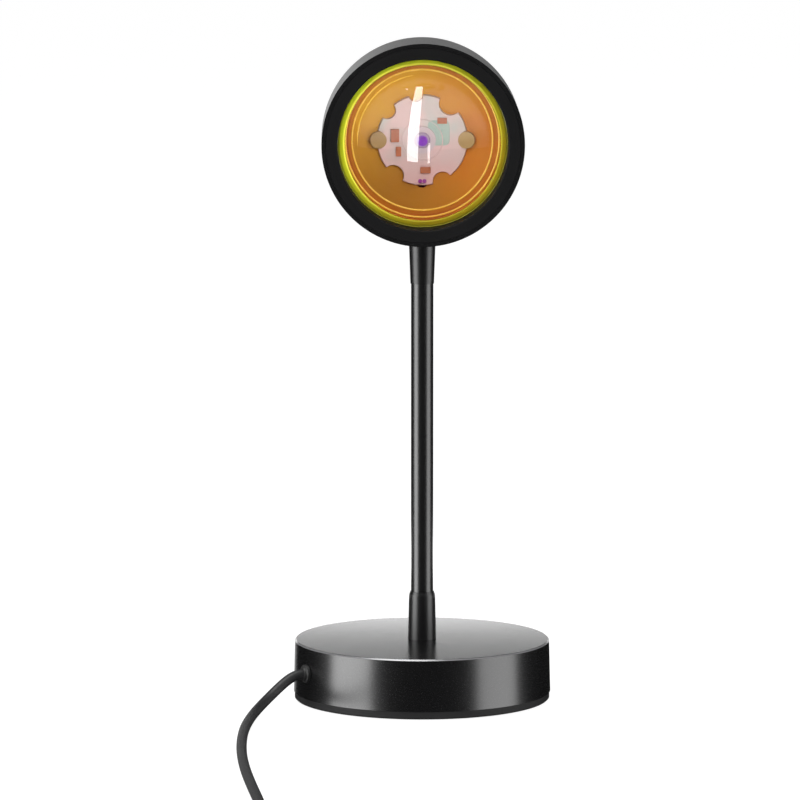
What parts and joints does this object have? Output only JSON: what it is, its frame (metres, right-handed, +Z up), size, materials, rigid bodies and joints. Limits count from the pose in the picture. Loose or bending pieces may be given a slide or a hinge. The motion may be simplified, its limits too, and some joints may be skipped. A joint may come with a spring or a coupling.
{
  "type": "projection lamp",
  "caption": "Small table lamp with a weighted round base, a bendable sleeved neck and a drum head with a domed amber lens that throws a round glow; corded plug with switch.",
  "frame": {"origin": "on the axis of the base, at the surface that the lamp stands on", "axes": "+Z up along the straight neck; the lens looks along -Y; +X is to the right of someone facing the lens"},
  "size_m": [0.1537, 0.4153, 0.265],
  "materials": {
    "base_paint": "satin black coating on spun metal",
    "head_paint": "satin black coating",
    "cover_black": "fine matte grain",
    "foot_foam": "closed-cell foam",
    "cast_weight": "rough cast",
    "screw_steel": "zinc plated",
    "fitting_steel": "turned, nickel plated",
    "link_steel": "plain",
    "ferrule_black": "satin black coating",
    "sleeve_black": "smooth, slightly shiny",
    "bush_black": "soft, matte",
    "clamp_black": "plain moulding",
    "bezel_black": "flat black",
    "lens_amber": "polished, coated amber to yellow-green",
    "gasket_black": "soft",
    "reflector_amber": "smooth, light",
    "sink_aluminium": "plain",
    "board_white": "pale solder resist over metal core",
    "led_violet": "clear over violet chips",
    "component_dark": "moulded packages",
    "wire_pvc": "smooth insulation",
    "cord_black": "matte jacket",
    "switch_black": "fine grain",
    "button_grey": "smooth",
    "plug_black": "fine grain",
    "plug_steel": "bright plating",
    "tongue_white": "plain"
  },
  "bodies": {
    "base": {"base_shell": "base_paint", "base_bottom_cover": "cover_black", "base_foot_pad": "foot_foam", "base_weight": "cast_weight", "base_screws": "screw_steel", "cord_grommet": "bush_black", "cord_clamp": "clamp_black", "cord_clamp_screws": "screw_steel", "lower_end_fitting": "fitting_steel", "lower_washer": "screw_steel", "lower_lock_nut": "screw_steel", "lower_ferrule": "ferrule_black", "neck_sleeve": "sleeve_black", "cord_inner_end": "cord_black", "base_wires": "wire_pvc", "neck_wires": "wire_pvc", "cord_lead": "cord_black", "cord_tail": "cord_black", "cord_coil": "cord_black", "cord_end": "cord_black", "switch_lower_case": "switch_black", "switch_upper_case": "switch_black", "switch_module": "component_dark", "usb_plug_grip": "plug_black", "usb_plug_shell": "plug_steel", "usb_plug_tongue": "tongue_white"},
    "neck_link_01": {"neck_link_01": "link_steel"},
    "neck_link_02": {"neck_link_02": "link_steel"},
    "neck_link_03": {"neck_link_03": "link_steel"},
    "neck_link_04": {"neck_link_04": "link_steel"},
    "neck_link_05": {"neck_link_05": "link_steel"},
    "neck_link_06": {"neck_link_06": "link_steel"},
    "neck_link_07": {"neck_link_07": "link_steel"},
    "neck_link_08": {"neck_link_08": "link_steel"},
    "neck_link_09": {"neck_link_09": "link_steel"},
    "neck_link_10": {"neck_link_10": "link_steel"},
    "neck_link_11": {"neck_link_11": "link_steel"},
    "head": {"upper_end_fitting": "fitting_steel", "upper_washer": "screw_steel", "upper_lock_nut": "screw_steel", "upper_ferrule": "ferrule_black", "head_housing": "head_paint", "front_bezel": "bezel_black", "lens_gasket": "gasket_black", "lens": "lens_amber", "inner_reflector": "reflector_amber", "heat_sink": "sink_aluminium", "heat_sink_screws": "screw_steel", "led_board": "board_white", "board_screws": "screw_steel", "led_emitter": "led_violet", "led_components": "component_dark", "head_rear_cover": "head_paint", "rear_cover_screws": "screw_steel", "head_wires": "wire_pvc"},
    "switch_button": {"switch_button": "button_grey"}
  },
  "joints": [
    {"name": "neck_bend_01", "type": "hinge", "parent": "base", "child": "neck_link_01", "pos_m": [0, 0, 0.04877], "axis": [1, 0, 0], "range_deg": [-15, 15], "deforming": ["neck_sleeve", "neck_wires"]},
    {"name": "neck_bend_02", "type": "hinge", "parent": "neck_link_01", "child": "neck_link_02", "pos_m": [0, 0, 0.05911], "axis": [0, 1, 0], "range_deg": [-15, 15]},
    {"name": "neck_bend_03", "type": "hinge", "parent": "neck_link_02", "child": "neck_link_03", "pos_m": [0, 0, 0.06945], "axis": [1, 0, 0], "range_deg": [-15, 15]},
    {"name": "neck_bend_04", "type": "hinge", "parent": "neck_link_03", "child": "neck_link_04", "pos_m": [0, 0, 0.0798], "axis": [0, 1, 0], "range_deg": [-15, 15]},
    {"name": "neck_bend_05", "type": "hinge", "parent": "neck_link_04", "child": "neck_link_05", "pos_m": [0, 0, 0.09014], "axis": [1, 0, 0], "range_deg": [-15, 15]},
    {"name": "neck_bend_06", "type": "hinge", "parent": "neck_link_05", "child": "neck_link_06", "pos_m": [0, 0, 0.10048], "axis": [0, 1, 0], "range_deg": [-15, 15]},
    {"name": "neck_bend_07", "type": "hinge", "parent": "neck_link_06", "child": "neck_link_07", "pos_m": [0, 0, 0.11082], "axis": [1, 0, 0], "range_deg": [-15, 15]},
    {"name": "neck_bend_08", "type": "hinge", "parent": "neck_link_07", "child": "neck_link_08", "pos_m": [0, 0, 0.12116], "axis": [0, 1, 0], "range_deg": [-15, 15]},
    {"name": "neck_bend_09", "type": "hinge", "parent": "neck_link_08", "child": "neck_link_09", "pos_m": [0, 0, 0.1315], "axis": [1, 0, 0], "range_deg": [-15, 15]},
    {"name": "neck_bend_10", "type": "hinge", "parent": "neck_link_09", "child": "neck_link_10", "pos_m": [0, 0, 0.14185], "axis": [0, 1, 0], "range_deg": [-15, 15]},
    {"name": "neck_bend_11", "type": "hinge", "parent": "neck_link_10", "child": "neck_link_11", "pos_m": [0, 0, 0.15219], "axis": [1, 0, 0], "range_deg": [-15, 15]},
    {"name": "neck_bend_12", "type": "hinge", "parent": "neck_link_11", "child": "head", "pos_m": [0, 0, 0.16253], "axis": [0, 1, 0], "range_deg": [-15, 15]},
    {"name": "switch_press", "type": "slide", "parent": "base", "child": "switch_button", "axis": [0, 0, 1], "range_m": [-0.0012, 0], "stiffness_N_per_m": 600, "springref_m": 0.0008}
  ],
  "couplings": [
    {"joint": "neck_bend_03", "follows": "neck_bend_01", "ratio": 1},
    {"joint": "neck_bend_04", "follows": "neck_bend_02", "ratio": 1},
    {"joint": "neck_bend_05", "follows": "neck_bend_01", "ratio": 1},
    {"joint": "neck_bend_06", "follows": "neck_bend_02", "ratio": 1},
    {"joint": "neck_bend_07", "follows": "neck_bend_01", "ratio": 1},
    {"joint": "neck_bend_08", "follows": "neck_bend_02", "ratio": 1},
    {"joint": "neck_bend_09", "follows": "neck_bend_01", "ratio": 1},
    {"joint": "neck_bend_10", "follows": "neck_bend_02", "ratio": 1},
    {"joint": "neck_bend_11", "follows": "neck_bend_01", "ratio": 1},
    {"joint": "neck_bend_12", "follows": "neck_bend_02", "ratio": 1}
  ]
}
